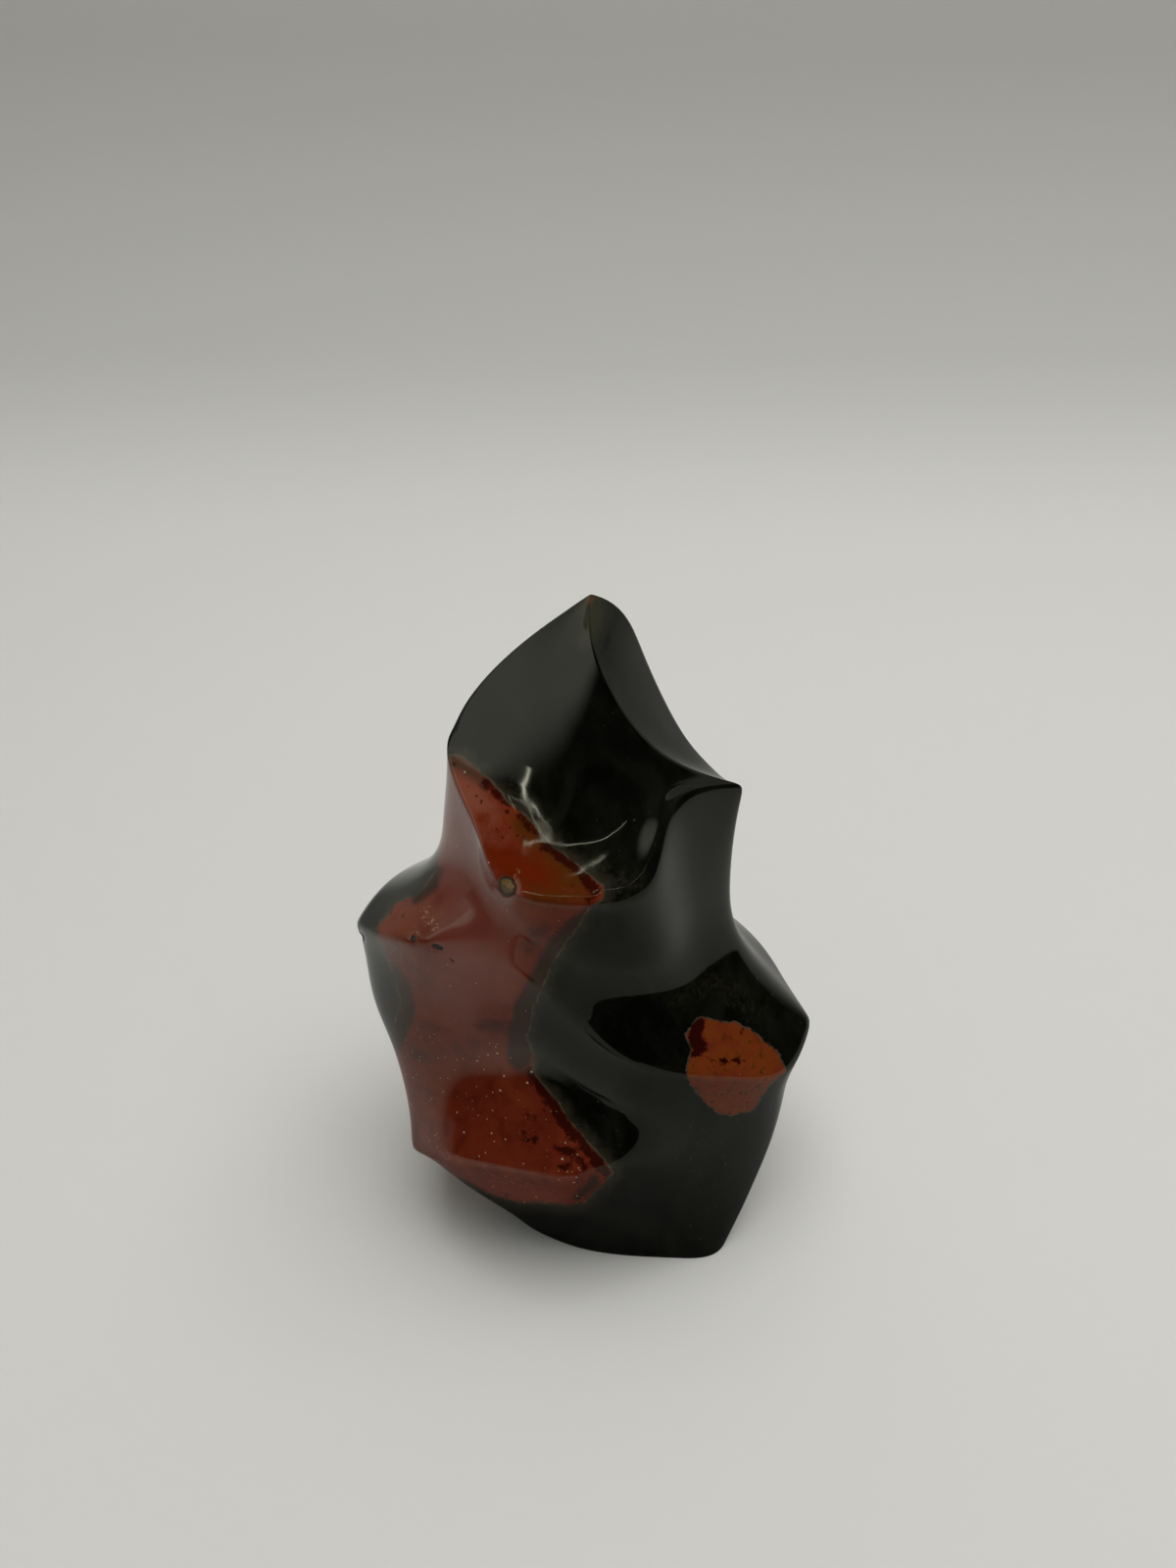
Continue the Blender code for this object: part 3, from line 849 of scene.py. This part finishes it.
# Painted shade: the wall's colour is the paper's, darkened.
shaded_wall = [WALL_SHADE_SHARE * value for value in PAPER]
paper_with_wall_shade = blend_colour(sheet, fade(up, WALL_SHADE_FROM, WALL_SHADE_FULL), PAPER, shaded_wall)
sheet.links.new(blend_colour(sheet, painted_shade_in_polish, paper_with_wall_shade, SHADE), sheet_shader.inputs["Base Color"])
print("paper finish:", len(sheet.nodes), "nodes")

# %% One sheet, curved up behind the stone
CURVE_START, CURVE_RADIUS, CURVE_STEPS, WALL_TOP = 0.12, 0.12, 12, 0.9
NEAR_EDGE, HALF_WIDTH = -1.4, 1.4
turns = [math.radians(90 / CURVE_STEPS * step) for step in range(CURVE_STEPS + 1)]
curve = [(CURVE_START + CURVE_RADIUS * math.sin(turn), CURVE_RADIUS * (1 - math.cos(turn))) for turn in turns]
profile = [(NEAR_EDGE, 0.0), *curve, (curve[-1][0], WALL_TOP)]


def strip(name, edges, finish):
    """A strip of faces between pairs of points, as a new object."""
    mesh = bpy.data.meshes.new(name)
    mesh.from_pydata(edges, [], [(i, i + 1, i + 3, i + 2) for i in range(0, len(edges) - 2, 2)])
    mesh.materials.append(finish)
    made = bpy.data.objects.new(name, mesh)
    SCENE.collection.objects.link(made)
    return made


sheet_edges = [(side * HALF_WIDTH, *point) for point in profile for side in (-1, 1)]
paper = strip("paper_sweep", sheet_edges, paper_finish)
paper.data.shade_smooth()
print("paper:", len(paper.data.polygons), "faces")


# %% [markdown]
# ## Cards and thin lamps that only the polish sees
#
# A photographer lights a dark polish with white cards just outside the picture. A card fills a whole facet
# with an even grey, so its edges have to melt away, or they would show as lines. Each card here is a
# see-through plane with light in its middle. The bowl of the crown works like a shaving mirror: anything
# wide would fill it with white, so the bright lines there come from lamps as thin as a thread.

# %% Cards
def towards(azimuth, elevation):
    """A direction from the stone. Azimuth 0 is behind the stone, -90 to its left."""
    turn, rise = math.radians(azimuth), math.radians(elevation)
    return Vector((math.sin(turn) * math.cos(rise), math.cos(turn) * math.cos(rise), math.sin(rise)))


def for_polish_alone(thing):
    """Nothing but reflections shows this object."""
    thing.visible_camera = thing.visible_diffuse = thing.visible_shadow = False


def glow_finish(name, glow, sides, foot):
    """Light that fades at the sides, the foot and the top of a card. It reads the card's UV map."""
    finish = bpy.data.materials.new(name)
    finish.use_nodes = True
    nodes = finish.node_tree
    nodes.nodes.remove(nodes.nodes["Principled BSDF"])
    aside, rise, _ = node(nodes, "ShaderNodeSeparateXYZ", {
        0: node(nodes, "ShaderNodeTexCoord").outputs["UV"]}).outputs
    share = product(nodes, *(smooth_step(nodes, value, low, high) for value, low, high in (
        (aside, 0.0, sides[0]), (aside, 1.0, 1.0 - sides[1]), (rise, 0.0, foot), (rise, 1.0, 0.5))))
    light = node(nodes, "ShaderNodeEmission", {"Color": (1, 1, 0.96, 1), "Strength": glow})
    clear = node(nodes, "ShaderNodeBsdfTransparent")
    mixed = node(nodes, "ShaderNodeMixShader", {0: share, 1: clear.outputs[0], 2: light.outputs[0]})
    nodes.links.new(mixed.outputs[0], nodes.nodes["Material Output"].inputs["Surface"])
    return finish


def glow_card(name, azimuth, away, width, foot, height, finish):
    """An upright card that faces the stone."""
    out = towards(azimuth, 0)
    side = Vector((-out.y, out.x, 0)) * width / 2
    low = out * away + Vector((0, 0, foot))
    high = low + Vector((0, 0, height))
    card = strip(name, [low + side, low - side, high + side, high - side], finish)
    card.data.uv_layers.new(name="UVMap")
    for corner, place in zip(card.data.uv_layers[0].data, ((0, 0), (1, 0), (1, 1), (0, 1))):
        corner.uv = place
    for_polish_alone(card)


# At the left a tall card for the crown and a low one for the arm, at the right a small one for the tip
glow_card("crown_card", azimuth=-133, away=0.070, width=0.095, foot=0.055, height=0.250,
          finish=glow_finish("crown_glow", glow=1.05, sides=(0.30, 0.15), foot=0.02))
glow_card("arm_card", azimuth=-108, away=0.072, width=0.090, foot=0.043, height=0.090,
          finish=glow_finish("arm_glow", glow=0.36, sides=(0.45, 0.45), foot=0.30))
glow_card("tip_card", azimuth=84, away=0.055, width=0.045, foot=0.074, height=0.060,
          finish=glow_finish("tip_glow", glow=0.30, sides=(0.20, 0.30), foot=0.15))

# %% Thin lamps, for the bright lines in the crown's bowl
LAMP_AWAY, LAMP_GLOW = 0.5, 18.0
LAMP_HEART = Vector((0, 0, 0.06))
# Azimuth and elevation of each point in degrees, and the width there in metres.
LAMPS = {
    "bent_lamp": [(196, 28, 0.0040), (190, 41, 0.0038), (185.5, 45, 0.0028), (182, 47.5, 0.0010),
                  (179, 50, 0.0005), (177.5, 52.2, 0.0005), (176.2, 55, 0.0008), (172, 55.5, 0.0009),
                  (166, 54.7, 0.0010)],
    "short_lamp": [(171.2, 60.2, 0.0004), (171.7, 60.6, 0.0008), (172.6, 60.8, 0.0012)],
}
lamp_finish = bpy.data.materials.new("lamp_glow")
lamp_finish.use_nodes = True
lamp_shader = lamp_finish.node_tree.nodes["Principled BSDF"]
lamp_shader.inputs["Emission Color"].default_value = (1.0, 0.96, 0.86, 1)
lamp_shader.inputs["Emission Strength"].default_value = LAMP_GLOW
for name, points in LAMPS.items():
    spine = [towards(azimuth, elevation) * LAMP_AWAY for azimuth, elevation, width in points]
    edges = []
    for i, point in enumerate(spine):
        run = spine[min(i + 1, len(spine) - 1)] - spine[max(i - 1, 0)]
        half = run.cross(point).normalized() * points[i][2] / 2
        edges += [LAMP_HEART + point - half, LAMP_HEART + point + half]
    lamp = strip(name, edges, lamp_finish)
    for_polish_alone(lamp)
print("lamps:", ", ".join(LAMPS))

# %% The wide light overhead
OVERHEAD_SIZE, OVERHEAD_GLOW = 0.8, 3.95
overhead_data = bpy.data.lights.new("overhead", "AREA")
overhead_data.size = OVERHEAD_SIZE
overhead_data.energy = OVERHEAD_GLOW * math.pi * OVERHEAD_SIZE ** 2
overhead = bpy.data.objects.new("overhead", overhead_data)
SCENE.collection.objects.link(overhead)
overhead.location = (0.12, 0.16, 0.80)
overhead.visible_camera = overhead.visible_glossy = False  # its square would show in the polish

# %% The room beyond: dark in the polish, pale for everything else
world = bpy.data.worlds.new("room")
SCENE.world = world
world.use_nodes = True
room = world.node_tree
pale_room = room.nodes["Background"]
pale_room.inputs["Color"].default_value = (0.20, 0.20, 0.19, 1)
dim_room = node(room, "ShaderNodeBackground", {"Color": (0.006, 0.006, 0.005, 1)})
choice = node(room, "ShaderNodeMixShader", {
    0: node(room, "ShaderNodeLightPath").outputs["Is Glossy Ray"], 1: pale_room.outputs[0],
    2: dim_room.outputs[0]})
room.links.new(choice.outputs[0], room.nodes["World Output"].inputs["Surface"])

# %% [markdown]
# ## The camera
#
# It stands where the viewer's eye is: 38 degrees down, close to the stone, with the lens that gives the
# frame's focal length in pixels.

# %% The viewer's camera
SENSOR = 36.0
camera_data = bpy.data.cameras.new("camera")
camera_data.sensor_fit = "VERTICAL"
camera_data.sensor_height = SENSOR
camera_data.lens = SENSOR * FOCAL_PIXELS / FRAME_HEIGHT
camera_data.clip_start = 0.01
camera = bpy.data.objects.new("camera", camera_data)
SCENE.collection.objects.link(camera)
camera.location = (Vector((0, -EYE_BACK, EYE_HEIGHT)) - MIDDLE) * MM
camera.rotation_euler = (math.pi / 2 - LOOK_DOWN, 0, 0)
SCENE.camera = camera
SCENE.view_settings.view_transform = "Standard"
print("lens:", round(camera_data.lens, 1), "mm")
